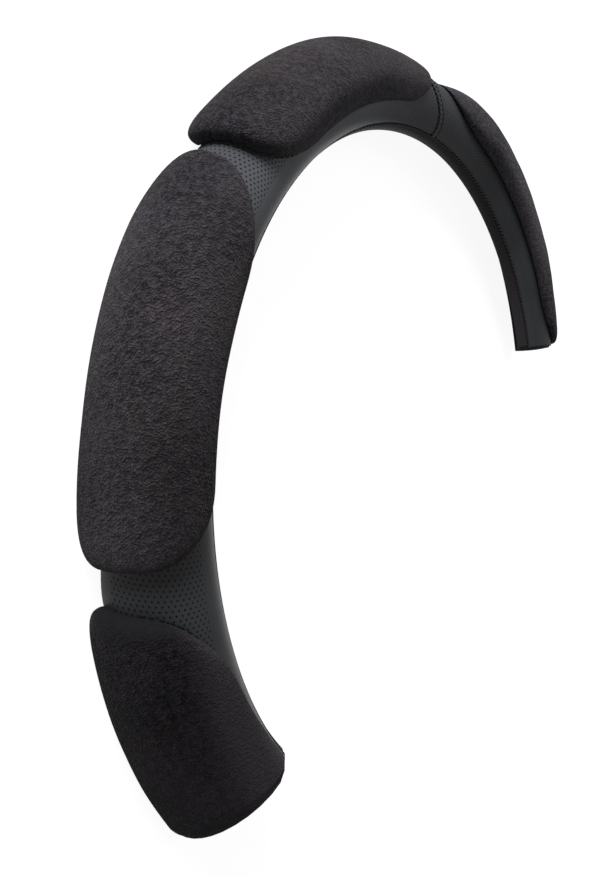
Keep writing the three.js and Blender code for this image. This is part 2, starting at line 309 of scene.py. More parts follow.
# %% Stitch maker
def stitches(name, a, b, up, thick, rise):
    """One closed tube for each pair of end points a, b.  Its middle line lies a third of thick
    down and arches by rise along up, as half a sine.  Its radius is thick / 2 times the root of
    1 - w4, where w runs from -1 to 1 along it, so the ends are rounded off."""
    n, steps, around, sunk = len(a), 7, 6, 0.35 * thick
    t = np.linspace(0, 1, steps)
    lift = np.sin(np.pi * t) * rise - sunk
    radius = thick / 2 * np.sqrt(np.clip(1 - (2 * t - 1) ** 4, 0.02, 1))
    axis = (b - a) / np.linalg.norm(b - a, axis=1)[:, None]
    side = np.cross(axis, up)
    side /= np.linalg.norm(side, axis=1)[:, None]
    top = np.cross(side, axis)
    angle = (np.arange(around) * 2 * np.pi / around)[None, :, None]
    line = a[:, None, :] + (b - a)[:, None, :] * t[None, :, None]
    line = line + up[:, None, :] * lift[None, :, None]
    ring = side[:, None, :] * np.cos(angle) + top[:, None, :] * np.sin(angle)
    points = line[:, :, None, :] + ring[:, None, :, :] * radius[None, :, None, None]
    per = steps * around
    first = (np.arange(n) * per)[:, None]
    quads = grid_faces(steps, around, True)[:, ::-1]
    faces = (quads[None] + first[:, :, None]).reshape(-1, 4).tolist()
    start = np.arange(around)[None] + first
    faces += start.tolist() + (start + per - around)[:, ::-1].tolist()
    return make_mesh(name, points, faces)


def section_up(theta, phi):
    """Unit vector away from the tube's centre line: the way from a smaller radius to a larger."""
    d = on_rim(theta, phi, 0.02) - on_rim(theta, phi, 0.01)
    return d / np.linalg.norm(d, axis=-1, keepdims=True)


print("up at 12 o'clock:", section_up(90, 90).round(3))

# %% Hem thread
HEM_PITCH, HEM_LINE_R, HEM_DRAWN = 0.0030, 0.160, 0.32
HEM_THICK, HEM_RISE = 0.0013, 0.0003
HEM_UP, HEM_SUNK, HEM_SINKS = 0.00015, 0.00085, (120, 146)
HEM_PHI = STITCH - 1.0
pitch = np.degrees(HEM_PITCH / HEM_LINE_R)
mid = np.arange(END_RIGHT + 0.8, END_LEFT - 0.6, pitch)
hem_r = SKIN_OUT + HEM_UP - HEM_SUNK * smooth(mid, *HEM_SINKS)
hem_ends = [on_rim(mid + way * pitch * HEM_DRAWN, HEM_PHI, hem_r) for way in (-1, 1)]
# The hem's thread is black, so its row also stands for the dark needle holes along the hem,
# painted shade.
hem_stitches_and_hole_shade = stitches("hem_thread_and_hole_shade", *hem_ends, section_up(mid, HEM_PHI), HEM_THICK, HEM_RISE)
print("hem stitches:", len(mid))

# %% [markdown]
# The cross seam carries two black rows of running stitch, one close to the seam and one 4 mm from
# it.  Between them lie fine grey slanting threads, like the rungs of a leaning ladder.

# %% Cross seam ladder
ROW_AWAY, RUNG_AWAY = (0.0005, 0.0045), (0.0010, 0.0040)
ROW_DRAWN, RUNG_SLANT = 0.7, 0.6
THREAD_UP = 0.0001
step = np.degrees(0.0020 / SKIN_OUT)
ladder_phi = np.arange(40.0, STITCH - 4, step)


def beside_seam(phi, away):
    """theta of the line that keeps a distance away from the cross seam, towards the right arm."""
    return seam_theta(phi) - np.degrees(away / RIM_R)


def ladder_row(away_a, away_b, drawn):
    """End points and up vectors of threads beside the cross seam: each starts away_a from it and
    ends away_b from it, a share drawn of the pitch further round the section."""
    a = on_rim(beside_seam(ladder_phi, away_a), ladder_phi, SKIN_OUT + THREAD_UP)
    phi_b = ladder_phi + step * drawn
    b = on_rim(beside_seam(phi_b, away_b), phi_b, SKIN_OUT + THREAD_UP)
    return a, b, section_up(beside_seam(ladder_phi, away_a), ladder_phi)


def joined(rows):
    """The end points and up vectors of several rows, one after the other."""
    return [np.concatenate(part) for part in zip(*rows)]


rows = joined(ladder_row(away, away, ROW_DRAWN) for away in ROW_AWAY)
rails = stitches("cross_seam_rows", *rows, 0.0007, 0.0003)
rungs = stitches("cross_seam_rungs", *ladder_row(*RUNG_AWAY, RUNG_SLANT), 0.0008, 0.0002)
print("cross seam threads:", 3 * len(ladder_phi))

# %% [markdown]
# ## Puffed pads
# Each pad is foam under suede, sewn down all round.  Seen in plan it is a rectangle with four
# different round corners, and from the seam its side swells out past its own foot, turns over
# and runs flat to the middle.  Cloth simulation would swell such a patch from a flat one, but
# this foam is moulded and shows no folds, so the form is drawn from the photograph.  The pad is a
# table once more: down a column goes the edge roll, and along a row goes the outline, drawn in by
# the roll's distance.

# %% Sizes of the pads
# corners are [along, across] radii in mm, from the start of the arc at the front edge and round.
# thin holds where a pad is thinnest, where it is full, the share left, and whether it falls
# quickly; hub holds the phi where thinning towards the hub starts and ends, and its share.
PAD_BACK, PLAN_R = -37.0, 0.186
PADS = {
    "right": dict(theta=(29.9, 100.0), front=103, flat=False, lean=0.0, flare=0.0, full=1.04,
                  thin=((100.5, 77, 0.06, True), (27.5, 66, 0.5, True)), hub=(92, 130, 0.65),
                  corners=((36, 17), (50, 19), (42, 16), (12, 10))),
    "top": dict(theta=(106.2, 154.4), front=107, flat=False, lean=0.007, flare=0.0, full=1.0,
                thin=((106, 137, 0.3, False),), hub=(74, 110, 0.62),
                corners=((22, 16), (38, 22), (12, 10), (16, 12))),
    "left": dict(theta=(157.8, 198.3), front=97.5, flat=False, lean=0.004, flare=0.0, full=1.10,
                 thin=((187, 171, 0.86, False), (157, 167, 0.80, False)), hub=(92, 130, 0.65),
                 corners=((38, 21), (24, 18), (14, 11), (28, 17))),
    "lower": dict(theta=(203.4, 227.25), front=100, flat=True, lean=0.0035, flare=0.0078,
                  full=0.98, thin=((203, 210, 0.92, False),), hub=(92, 130, 0.65),
                  corners=((44, 22), (1.5, 1.5), (1.5, 1.5), (12, 10))),
}
RISE_OUTER, RISE_FRONT = 0.0075, 0.0074
RISE_PHI = 15, 75
print("pads:", len(PADS))

# %% Edge roll
# Distance in from the seam in mm, and share of the pad's rise.
ROLL = np.array([[-0.2, 0.0], [-0.6, 0.05], [-0.85, 0.2], [-0.85, 0.42], [-0.15, 0.68],
                 [1.6, 0.86], [4.4, 0.96], [8.5, 1.01], [13.5, 1.035], [21.2, 1.05]])
ROLL_HALF_W, ROLL_OVER = 0.022, 0.0046


def through(knots, n):
    """n points on a smooth line through the knots.  Each stretch is a Catmull-Rom piece, a cubic
    whose slope at a knot is half the way between the knot's neighbours."""
    ends = np.concatenate([[2 * knots[0] - knots[1]], knots, [2 * knots[-1] - knots[-2]]])
    u = np.linspace(0, len(knots) - 1, n)
    i = np.minimum(u.astype(int), len(knots) - 2)
    t = (u - i)[:, None]
    p0, p1, p2, p3 = ends[i], ends[i + 1], ends[i + 2], ends[i + 3]
    return 0.5 * (2 * p1 + (p2 - p0) * t + (2 * p0 - 5 * p1 + 4 * p2 - p3) * t ** 2
                  + (3 * p1 - p0 - 3 * p2 + p3) * t ** 3)


print("roll, furthest out:", through(ROLL, 64)[:, 0].min().round(2), "mm")

# %% Outline of a pad
CORNER_STEPS, END_STEPS, SIDE_STEP = 15, 16, 0.003
END_KNEE, END_FAST, END_SLOW, END_OVERHANG = 0.0045, 1.4, 0.4, 0.3
FLARE_FROM = 0.35


def pad_length(pad):
    """Length along the rim: the arc's angle times the plan's radius."""
    return math.radians(pad["theta"][1] - pad["theta"][0]) * PLAN_R


def side_points(pad):
    """Points along a straight side, about one each SIDE_STEP."""
    return int(pad_length(pad) / SIDE_STEP)


def flat_end_in(d):
    """How far a cut end is drawn in: fast at first and slowly after the knee, and less than d
    where the roll hangs over."""
    return np.where(d < 0, END_OVERHANG * d,
                    np.minimum(END_FAST * d, END_KNEE + (d - END_KNEE) * END_SLOW))


def drawn_in(pad, d):
    """Outline drawn in by each d: tables of x along and y across, from the pad's middle.  Past
    the roll, d is stretched to reach the middle of the pad's own width.  Straight sides join
    quarter ellipses whose radii shrink with d; then y grows by the flare towards the left end,
    and x leans with y at the start."""
    half_l = pad_length(pad) / 2
    half_w = math.radians(pad["front"] - PAD_BACK) * PAD_BASE / 2
    past = np.maximum(0, d - ROLL_OVER)
    d = np.minimum(d + past * (half_w - ROLL_HALF_W) / (ROLL_HALF_W - ROLL_OVER), half_w - 0.0004)
    left, right = d - half_l, half_l - (flat_end_in(d) if pad["flat"] else d)
    top, low = half_w - d, d - half_w
    quarter = np.linspace(0, np.pi / 2, CORNER_STEPS)
    turns = ((-1, 1, np.pi), (1, 1, np.pi / 2), (1, -1, 0), (-1, -1, -np.pi / 2))
    xs, ys = [], []
    for (sx, sy, turn), (rx, ry) in zip(turns, pad["corners"]):
        rx = np.maximum(0.0004, np.minimum(rx / 1000 - d, (right - left) / 2 - 0.0003))
        ry = np.maximum(0.0003, np.minimum(ry / 1000 - d, (top - low) / 2 - 0.0002))
        cx = (left if sx < 0 else right) - sx * rx
        cy = (low if sy < 0 else top) - sy * ry
        xs.append(cx[:, None] + rx[:, None] * np.cos(turn - quarter))
        ys.append(cy[:, None] + ry[:, None] * np.sin(turn - quarter))
    x, y = [], []
    for i, n in enumerate((side_points(pad), END_STEPS) * 2):
        j = (i + 1) % 4
        t = np.linspace(0, 1, n)[1:-1]
        x += [xs[i], xs[i][:, -1:] * (1 - t) + xs[j][:, :1] * t]
        y += [ys[i], ys[i][:, -1:] * (1 - t) + ys[j][:, :1] * t]
    x, y = np.concatenate(x, 1), np.concatenate(y, 1)
    share = x / (2 * half_l)
    flared = y * (1 + (y > 0) * pad["flare"] * smooth(share + 0.5, FLARE_FROM, 1) / half_w)
    return x + pad["lean"] * y * (0.5 - share) / half_w, flared


def on_pad(pad, x, y):
    """theta and phi of lengths from the pad's middle."""
    return (sum(pad["theta"]) / 2 + np.degrees(x / PLAN_R),
            (PAD_BACK + pad["front"]) / 2 + np.degrees(y / PAD_BASE))


print({key: round(pad_length(pad), 4) for key, pad in PADS.items()})

# %% [markdown]
# The suede is pulled down at every stitch of its seam, which leaves tiny dimples round the foot of
# the pad, and hand-cut foam is never quite even.  Both are small waves added to the height: one
# with the pitch of the dimples, which dies out within a few millimetres, and slow ones over the
# top.  A noise texture on a Displace modifier could do it too, but sines stay smooth at the seam.

# %% Heights of a pad
WAVES, WAVE_STEEP = (0.055, 0.034, 0.021), 0.0022
DIMPLE_PITCH, DIMPLE_DEEP, DIMPLE_FADE = 0.0041, 0.0006, 5


def crown(pad, theta, phi):
    """Height of the flat of the pad above its base.  A share of it is lost towards the hub, and
    at each thin place, where f runs from 0 at the thinnest to 1 at full: quickly, by f(2 - f),
    or in an S."""
    hub_from, hub_to, hub_share = pad["hub"]
    share = pad["full"] * (1 - hub_share * smooth(phi, hub_from, hub_to))
    for thinnest, full, least, quick in pad["thin"]:
        f = np.clip((theta - thinnest) / (full - thinnest), 0, 1)
        share = share * (least + (1 - least) * (f * (2 - f) if quick else smooth(f, 0, 1)))
    return share * (RISE_OUTER + (RISE_FRONT - RISE_OUTER) * smooth(phi, *RISE_PHI))


def slow_waves(x, y, seed):
    """Sum of three sines, one for each length in WAVES, each in its own direction."""
    rng = np.random.default_rng(seed)
    wave = np.zeros_like(x)
    for length in WAVES:
        way, shift = rng.uniform(0, 2 * np.pi), rng.uniform(0, 2 * np.pi)
        across = x * np.cos(way) + y * np.sin(way)
        wave += length * WAVE_STEEP * np.sin(2 * np.pi * across / length + shift)
    return wave


def way_round(x, y):
    """Distance walked along an outline up to each of its points."""
    return np.concatenate([[0], np.cumsum(np.hypot(np.diff(x), np.diff(y)))])


print("longest wave:", WAVES[0], "m")

# %% Pads
ROLL_STEPS, BASE_RINGS = 64, np.linspace(0.004, 0.0215, 6)
BASE_SINK = 0.00015


def puffed_pad(name, pad, seed):
    """Closed pad.  Its height over the base is the crown times the roll's share, plus the waves
    and the dimples.  A flat underside of a few rings follows, and the two narrow slots left in
    the middle, above and below, are closed by quads and a fan at each end."""
    roll = through(ROLL, ROLL_STEPS)
    d, share = roll[:, 0] / 1000, roll[:, 1][:, None]
    x, y = drawn_in(pad, d)
    theta, phi = on_pad(pad, x, y)
    dimple = np.cos(2 * np.pi * way_round(x[0], y[0]) / DIMPLE_PITCH)[None, :]
    dimple = dimple * share * np.exp(-share * DIMPLE_FADE)
    height = (crown(pad, theta, phi) + slow_waves(x, y, seed)) * share + DIMPLE_DEEP * dimple
    top = on_rim(theta, phi, PAD_BASE + height)
    base_x, base_y = drawn_in(pad, BASE_RINGS)
    base = on_rim(*on_pad(pad, base_x, base_y), PAD_BASE - BASE_SINK)
    points = np.concatenate([top[::-1], base])
    n, chain = x.shape[1], 2 * CORNER_STEPS + side_points(pad) - 2
    i = np.arange(chain - 1)
    across = n - CORNER_STEPS - i
    slot = np.stack([i, i + 1, across - 1, across], 1).tolist()
    slot += [[0, *range(n - CORNER_STEPS, n)], list(range(chain - 1, chain + CORNER_STEPS))]
    under = [face[::-1] for face in shifted(slot, (len(points) - 1) * n)]
    faces = grid_faces(len(points), n, True)[:, ::-1].tolist() + slot + under
    uv = np.stack([np.concatenate([x[::-1], base_x]), np.concatenate([y[::-1], base_y])], -1)
    return make_mesh(name, points, faces, uv)


pads = {key: puffed_pad(f"suede_pad_{key}", pad, 10 + i)
        for i, (key, pad) in enumerate(PADS.items())}
print({key: len(piece.data.polygons) for key, piece in pads.items()})

# %% [markdown]
# The thread that holds a pad down runs in the groove round its foot, and shows as a broken dark
# line against the leather.  One black row goes round every pad: along the top pad's side towards
# the hub and round the right pad it is that thread; elsewhere it is also a painted shadow, the
# dark contact shade at the pads' feet.  It is the same stitch as before, laid along the pad's
# outline moved a little outwards.

# %% Thread round the pads, and painted shadow at their feet
FOOT_AWAY = {"right": 0.0010, "top": 0.0014, "left": 0.0010, "lower": 0.0010}
FOOT_PITCH, FOOT_DRAWN, FOOT_STOP = 0.0034, 0.0028, END_LEFT - 1.8


def foot_stitches(pad, outside):
    """End points and up vectors of the stitches round a pad: the outline is walked in equal
    steps of about FOOT_PITCH, and what falls on the cut end of the cover is left out."""
    x, y = (np.append(line[0], line[0, 0]) for line in drawn_in(pad, np.array([-outside])))
    walked = way_round(x, y)
    count = int(walked[-1] / FOOT_PITCH)
    start = np.arange(count) * walked[-1] / count
    (theta_a, phi_a), (theta_b, phi_b) = (
        on_pad(pad, np.interp(at, walked, x), np.interp(at, walked, y))
        for at in (start, start + FOOT_DRAWN))
    near = theta_b < FOOT_STOP
    a, b = on_rim(theta_a, phi_a, SKIN_OUT), on_rim(theta_b, phi_b, SKIN_OUT)
    return a[near], b[near], section_up(theta_a, phi_a)[near]


sewn = joined(foot_stitches(pad, FOOT_AWAY[key]) for key, pad in PADS.items())
# Black thread round every pad; away from the top pad's hub side and the right pad it is also a
# painted contact shadow.
foot_thread_and_shadow = stitches("pad_foot_thread_and_painted_shadow", *sewn, 0.0007, 0.0001)
print("pad stitches:", len(sewn[0]))

# %% [markdown]
# ## Shader maths
# Patterns are written as sums.  Nodes could be added and linked one by one, but a pattern is
# easier to read as what it is, a formula.  `Num` stands for a socket and turns `+`, `*` and so on
# into Math nodes, also with a plain number on the left, and `Shader.node` makes any other node
# from its type, its settings and its inputs.


# %% Sockets that add and multiply
class Num:
    """A value in a material; arithmetic on it adds Math nodes."""

    def __init__(self, shader, socket):
        self.shader, self.socket = shader, socket

    def _math(self, operation, *values):
        return self.shader.node("ShaderNodeMath", {"operation": operation},
                                dict(enumerate(values)))

    def __add__(self, other):
        return self._math("ADD", self, other)

    def __sub__(self, other):
        return self._math("SUBTRACT", self, other)

    def __rsub__(self, other):
        return self._math("SUBTRACT", other, self)

    def __mul__(self, other):
        return self._math("MULTIPLY", self, other)

    def __truediv__(self, other):
        return self._math("DIVIDE", self, other)

    __radd__, __rmul__ = __add__, __mul__

    def apply(self, operation, *values):
        """Any other Math operation, such as FRACT or FLOOR."""
        return self._math(operation, self, *values)

    def step(self, a, b):
        """0 below a, 1 above b, smooth between."""
        return self.shader.node("ShaderNodeMapRange", {"interpolation_type": "SMOOTHSTEP"},
                                {0: self, 1: a, 2: b, 3: 0.0, 4: 1.0})

    def beside(self, name):
        """Another output of the same node."""
        return Num(self.shader, self.socket.node.outputs[name])


print("operators ready")


# %% Materials
class Shader:
    """A material and the nodes in it."""

    def __init__(self, name, **constants):
        self.material = bpy.data.materials.new(name)
        self.material.use_nodes = True
        self.tree = self.material.node_tree
        self.surface = self.tree.nodes["Principled BSDF"]
        for key, value in constants.items():
            self.surface.inputs[key.replace("_", " ")].default_value = value

    def node(self, kind, settings=(), inputs=(), out=0):
        """Adds a node: its settings are set first, then the values or links of its sockets."""
        made = self.tree.nodes.new(kind)
        for key, value in dict(settings).items():
            setattr(made, key, value)
        for key, value in dict(inputs).items():
            self.feed(made.inputs[key], value)
        return Num(self, made.outputs[out])

    def feed(self, socket, value):
        """Links or sets one socket."""
        if isinstance(value, Num):
            self.tree.links.new(value.socket, socket)
        else:
            socket.default_value = value

    def mix(self, share, a, b):
        """Colour between a and b."""
        return self.node("ShaderNodeMix", {"data_type": "RGBA"}, {0: share, 6: a, 7: b}, 2)

    def vector(self, operation, inputs, out=0):
        """Vector Math, for colours and places."""
        return self.node("ShaderNodeVectorMath", {"operation": operation}, inputs, out)

    def place(self):
        """Coordinates of the piece itself, in metres."""
        return self.node("ShaderNodeTexCoord", out=3)

    def lengths(self):
        """The two lengths of the piece's own UV map: along the rim and across it."""
        uv = self.node("ShaderNodeUVMap", {"uv_map": "lengths"})
        along = self.node("ShaderNodeSeparateXYZ", {}, {0: uv})
        return along, along.beside("Y")

    def noise(self, scale, detail=2.0, rough=0.5):
        """Noise in the piece's own coordinates, in repeats per metre."""
        return self.node("ShaderNodeTexNoise", {}, {"Vector": self.place(), "Scale": scale,
                                                    "Detail": detail, "Roughness": rough})

    def bump(self, height, strength, distance):
        """Normal from a height."""
        return self.node("ShaderNodeBump", {}, {"Strength": strength, "Distance": distance,
                                                "Height": height})

    def dress(self, piece, slot, **links):
        """Feeds the surface, and puts the material on the piece."""
        for key, value in links.items():
            self.feed(self.surface.inputs[key.replace("_", " ")], value)
        return self.put(piece, slot)

    def put(self, piece, slot):
        """Puts the material on the piece; slot is not used."""
        piece.data.materials.clear()
        piece.data.materials.append(self.material)
        return self

    def show(self, value):
        """Makes this the material's output in place of the plain surface."""
        self.feed(self.tree.nodes["Material Output"].inputs["Surface"], value)

    def plain(self):
        """The plain surface's own output."""
        return Num(self, self.surface.outputs[0])


print("materials ready")

# %% [markdown]
# ## Leather
# The panels are a dark green grey with a fine grain, and a band along their middle is punched with
# staggered rows of tiny holes.  Cut into the mesh they would take hundreds of thousands of faces,
# and the eye only reads dark dots with a soft edge, so they are colour and bump.  They are worked
# out from the UVs, which are lengths in metres: the fraction of each length over its pitch gives
# a cell, every other row is shifted by half a cell, and the distance to the cell's middle gives
# the hole.  Past the long left pad the sleeve is stretched askew, and the rows lean with it.

# %% Leather: holes and grain
HOLE_U, HOLE_V, HOLE_R = 0.00155, 0.0019, 0.00034
HOLE_DARK, LEATHER_ROUGH = (0.002, 0.002, 0.002, 1), 0.45
BAND_OUTER, BAND_LEFT, BAND_RIGHT, BAND_FADE = -0.0020, 0.0305, 0.0440, 0.0006
ROWS_LEAN = 0.16
GRAINS, GRAIN_DEEP, HOLE_DEEP, DEPTH = 1500.0, 0.25, 0.35, 0.0004
LEATHER_DARK, LEATHER_LIGHT = (0.0194, 0.0204, 0.0232, 1), (0.0250, 0.0263, 0.0296, 1)

leather = Shader("perforated_leather", Roughness=LEATHER_ROUGH, Specular_IOR_Level=0.38)
u, v = leather.lengths()


def along_rim(a, b):
    """0 before theta a, 1 past theta b."""
    return u.step(math.radians(a) * RIM_R, math.radians(b) * RIM_R)


leaning = u - v * ROWS_LEAN * along_rim(184, 192)
shift = ((leaning / HOLE_U).apply("FLOOR") * 0.5).apply("FRACT")
du = ((leaning / HOLE_U).apply("FRACT") - 0.5) * HOLE_U
dv = ((v / HOLE_V + shift).apply("FRACT") - 0.5) * HOLE_V
far = (du * du + dv * dv).apply("SQRT")
band_inner = BAND_RIGHT + (BAND_LEFT - BAND_RIGHT) * along_rim(108, 124)
in_band = v.step(BAND_OUTER, BAND_OUTER + BAND_FADE) * (band_inner - v).step(0.0, BAND_FADE)
hole = (1 - far.step(HOLE_R * 0.7, HOLE_R * 1.3)) * in_band
relief = leather.noise(GRAINS, 3.0) * GRAIN_DEEP - hole * HOLE_DEEP
normal = leather.bump(relief, 0.6, DEPTH)
base = leather.mix(leather.noise(38.0).step(0.35, 0.65), LEATHER_DARK, LEATHER_LIGHT)
print("leather nodes so far:", len(leather.tree.nodes))

# %% [markdown]
# The leather's tone carries painted light and shade.  Over the top pad and down to the middle of
# the long left pad it is painted paler, a painted light, and further down it is painted darker, a
# painted shade below the left pad.  Along the inner outline, from the top pad on, it is dark and
# dull, so that a dark line runs there.  Glossy leather that turns away from the eye shines like a
# mirror, and painting it darker doesn't stop that, so that dark edge is a second, dull surface
# behind a Mix Shader.

# %% Leather: painted light and shade, and a dull dark edge
PAINTED_LIGHT_UPPER, PAINTED_SHADE_LOWER = 0.90, 1.10
EDGE_IN, EDGE_WIDER, EDGE_BACK, EDGE_FADE = 2.8, 26.5, 18, 0.0004
EDGE_DARK = (0.0135, 0.0120, 0.0135, 1)

# Painted light: the base is made paler from the top pad on.  Painted shade: it is made darker from
# the middle of the left pad on down.
painted_light_and_shade = 1.0 + along_rim(108, 140) * PAINTED_LIGHT_UPPER - along_rim(170, 190) * PAINTED_SHADE_LOWER
base = leather.vector("SCALE", {0: base, "Scale": painted_light_and_shade})
edge_phi = STITCH - EDGE_IN - along_rim(128, 172) * EDGE_WIDER + along_rim(190, 232) * EDGE_BACK
edge_v = edge_phi * math.radians(1) * SKIN_OUT
# Share of the dull dark band along the inner outline, from the top pad on.
dull_dark_edge = (v - edge_v).step(0.0, EDGE_FADE) * along_rim(112, 135)
dull = leather.node("ShaderNodeBsdfDiffuse", {}, {"Color": EDGE_DARK})
leather.show(leather.node("ShaderNodeMixShader", {}, {0: dull_dark_edge, 1: leather.plain(), 2: dull}))
leather.dress(leather_left, "leather", Base_Color=leather.mix(hole, base, HOLE_DARK),
              Roughness=hole * 0.4 + LEATHER_ROUGH, Normal=normal).put(leather_right, "leather")
print("leather nodes:", len(leather.tree.nodes))

# %% [markdown]
# The hem strip is the same leather without holes, a shade warmer and duller.  The liner is black
# rubber.  The thread of the hem, the rows and the pads is black, and the cross seam's slanting
# threads are grey.

# %% Hem, liner and thread materials
HEM_DARK, HEM_LIGHT = (0.0158, 0.0142, 0.0160, 1), (0.0215, 0.0188, 0.0210, 1)

hem_leather = Shader("hem_leather", Roughness=0.6, Specular_IOR_Level=0.14)
hem_tone = hem_leather.mix(hem_leather.noise(30, 2.0), HEM_DARK, HEM_LIGHT)
hem_grain = hem_leather.bump(hem_leather.noise(1300, 3.0), 0.3, 0.0003)
hem_leather.dress(hem, "hem", Base_Color=hem_tone, Normal=hem_grain)
Shader("black_rubber", Base_Color=(0.006, 0.006, 0.006, 1), Roughness=0.8).put(liner, "liner")
black = Shader("black_thread", Base_Color=(0.003, 0.003, 0.003, 1), Roughness=0.7)
for threads in (hem_stitches_and_hole_shade, foot_thread_and_shadow, rails):
    black.put(threads, "leather")
Shader("grey_thread", Base_Color=(0.050, 0.055, 0.060, 1), Roughness=0.6).put(rungs, "leather")
print("plain materials ready")

# %% [markdown]
# ## Suede
# Suede is a mat of short fibres.  Close up it is pebbled, light on the tips and dark in the
# creases, with wide brushed patches where the nap lies the other way, and where it turns away from
# the eye its tips catch the light, which is what the sheen does.  Hair could be grown on it, but
# the fibres are far shorter than a pixel.  A Voronoi pattern bent by noise gives the pebbles, and
# noise at other sizes gives the nap, the patches and the warmer tips.  The tone follows the same
# relief as the bump, so the dark in its creases is partly the suede's own and partly painted
# shade.


# %% Suede relief
BENDS, BEND_BY, PEBBLES, NAPS = 520.0, 0.0012, 1200.0, 430.0


def nap_relief(s):
    """Half pebbles, which are 1 - step of the distance to the nearest cell at bent places, and
    half nap, which is noise with its contrast raised."""
    place = s.place()
    bend = s.node("ShaderNodeTexNoise", {}, {"Vector": place, "Scale": BENDS, "Detail": 2.0}, 1)
    bent = s.vector("ADD", {0: place, 1: s.vector("SCALE", {0: bend, "Scale": BEND_BY})})
    cell = s.node("ShaderNodeTexVoronoi", {"feature": "F1"}, {"Vector": bent, "Scale": PEBBLES})
    pebble, nap = 1 - cell.step(0.10, 0.70), s.noise(NAPS, 4.0, 0.75).step(0.36, 0.64)
    return pebble * 0.5 + nap * 0.5


print("relief ready")

# %% [markdown]
# The tones of the pads carry painted light and shade.  The right pad is darker and smoother at its
# upper end, and so is the lowest pad at its start, where it is painted shade.  The lowest pad's
# side towards the hub is painted paler and smoother, a painted sheen.  The long left pad is
# painted darker towards its lower end and towards the hub, painted shade.  The marks could be
# painted as images, but each is a simple step of the piece's own lengths.


# %% Suede material
PATCHES, PATCH_SHARE, WARM_PATCHES = 20.0, 0.35, 13.0
DARK_END_FLAT, PAINTED_SHEEN_FROM, PAINTED_SHEEN_TO, PAINTED_SHEEN_SHARE, PAINTED_SHEEN_FLAT = 0.8, 0.0060, 0.0160, 0.7, 0.35
NAP_ROUGH, NAP_SHINE, TIPS_ROUGH, TIPS = 0.9, 0.10, 0.4, (0.72, 0.69, 0.72, 1)


def suede(name, dark, light, warm_light, sheen, depth=0.0010, dark_end=(), painted_sheen=(), painted_shade=()):
    """Tone from dark creases, partly painted shade, to light tips, by a little over a third of
    brushed patches and the rest relief.  dark_end holds where it is full, where it starts, its
    share and its colour; painted_sheen is a colour, painted light on the side towards the hub;
    painted_shade holds a start, an end and a share along the rim, then across, of painted shade."""
    s = Shader(name, Roughness=NAP_ROUGH, Specular_IOR_Level=NAP_SHINE, Sheen_Weight=sheen,
               Sheen_Roughness=TIPS_ROUGH, Sheen_Tint=TIPS)
    relief, brushed = nap_relief(s), s.noise(PATCHES, 1.0).step(0.3, 0.7)
    shade = brushed * PATCH_SHARE + relief * (1 - PATCH_SHARE)
    warm = s.noise(WARM_PATCHES).step(0.35, 0.65)
    tone = s.mix(shade, dark, s.mix(warm, light, warm_light))
    if dark_end or painted_sheen or painted_shade:
        along, across = s.lengths()
    if dark_end:
        full, start, share, flat = dark_end
        dark_end_share = 1 - along.step(full, start) if full < start else along.step(start, full)
        dark_end_share = dark_end_share * share
        tone, relief = s.mix(dark_end_share, tone, flat), relief * (1 - dark_end_share * DARK_END_FLAT)
    if painted_sheen:
        sheen_share = across.step(PAINTED_SHEEN_FROM, PAINTED_SHEEN_TO)
        tone = s.mix(sheen_share * PAINTED_SHEEN_SHARE, tone, painted_sheen)
        relief = relief * (1 - sheen_share * PAINTED_SHEEN_FLAT)
    if painted_shade:
        level = 1 - along.step(*painted_shade[:2]) * painted_shade[2] - across.step(*painted_shade[3:5]) * painted_shade[5]
        tone = s.vector("SCALE", {0: tone, "Scale": level})
    s.feed(s.surface.inputs["Base Color"], tone)
    s.feed(s.surface.inputs["Normal"], s.bump(relief, 1.0, depth))
    return s


print("suede ready")

# %% Suedes of the pads
# Lit and shaded copies of one charcoal suede: the left and right pads' copies are painted paler,
# painted light; the lowest pad's black suede is partly dark of its own and partly painted shade.
suede("charcoal_suede", dark=(0.0030, 0.0025, 0.0031, 1), light=(0.0460, 0.0420, 0.0500, 1),
      warm_light=(0.0475, 0.0415, 0.0450, 1), sheen=0.06, depth=0.0008).put(pads["top"], "suede")
# Left pad: painted shade towards its lower end and towards the hub.
suede("charcoal_suede_painted_light_and_shade", dark=(0.0034, 0.0028, 0.0035, 1), light=(0.0555, 0.0505, 0.0600, 1),
      warm_light=(0.0570, 0.0500, 0.0550, 1), sheen=0.06,
      painted_shade=(-0.012, 0.045, 0.26, 0.000, 0.018, 0.30)).put(pads["left"], "suede")
# Right pad: darker and smoother at its upper end.
suede("charcoal_suede_painted_light_dark_end", dark=(0.0048, 0.0041, 0.0050, 1),
      light=(0.0780, 0.0715, 0.0840, 1), warm_light=(0.0780, 0.0700, 0.0770, 1), sheen=0.06,
      dark_end=(0.108, 0.088, 0.50, (0.0095, 0.0100, 0.0112, 1))).put(pads["right"], "suede")
# Lowest pad: painted shade on a strip at its start, and a painted sheen on its side towards the
# hub.
suede("black_suede_painted_light_and_shade", dark=(0.0012, 0.0010, 0.0012, 1), light=(0.0225, 0.0192, 0.0230, 1),
      warm_light=(0.0230, 0.0190, 0.0220, 1), sheen=0.03,
      dark_end=(-0.0370, -0.0325, 0.85, (0.0068, 0.0064, 0.0072, 1)),
      painted_sheen=(0.0240, 0.0205, 0.0235, 1)).put(pads["lower"], "suede")
print("pads dressed:", [piece.data.materials[0].name for piece in pads.values()])

# %% [markdown]
# ## Riding on the solids
# The pieces could be parented by hand, but the frame has to know what each one stands for, so
# that the solids behind them are hidden and still carry the weight.  Every piece belongs to the
# one rigid body, and fine thread stands for nothing.

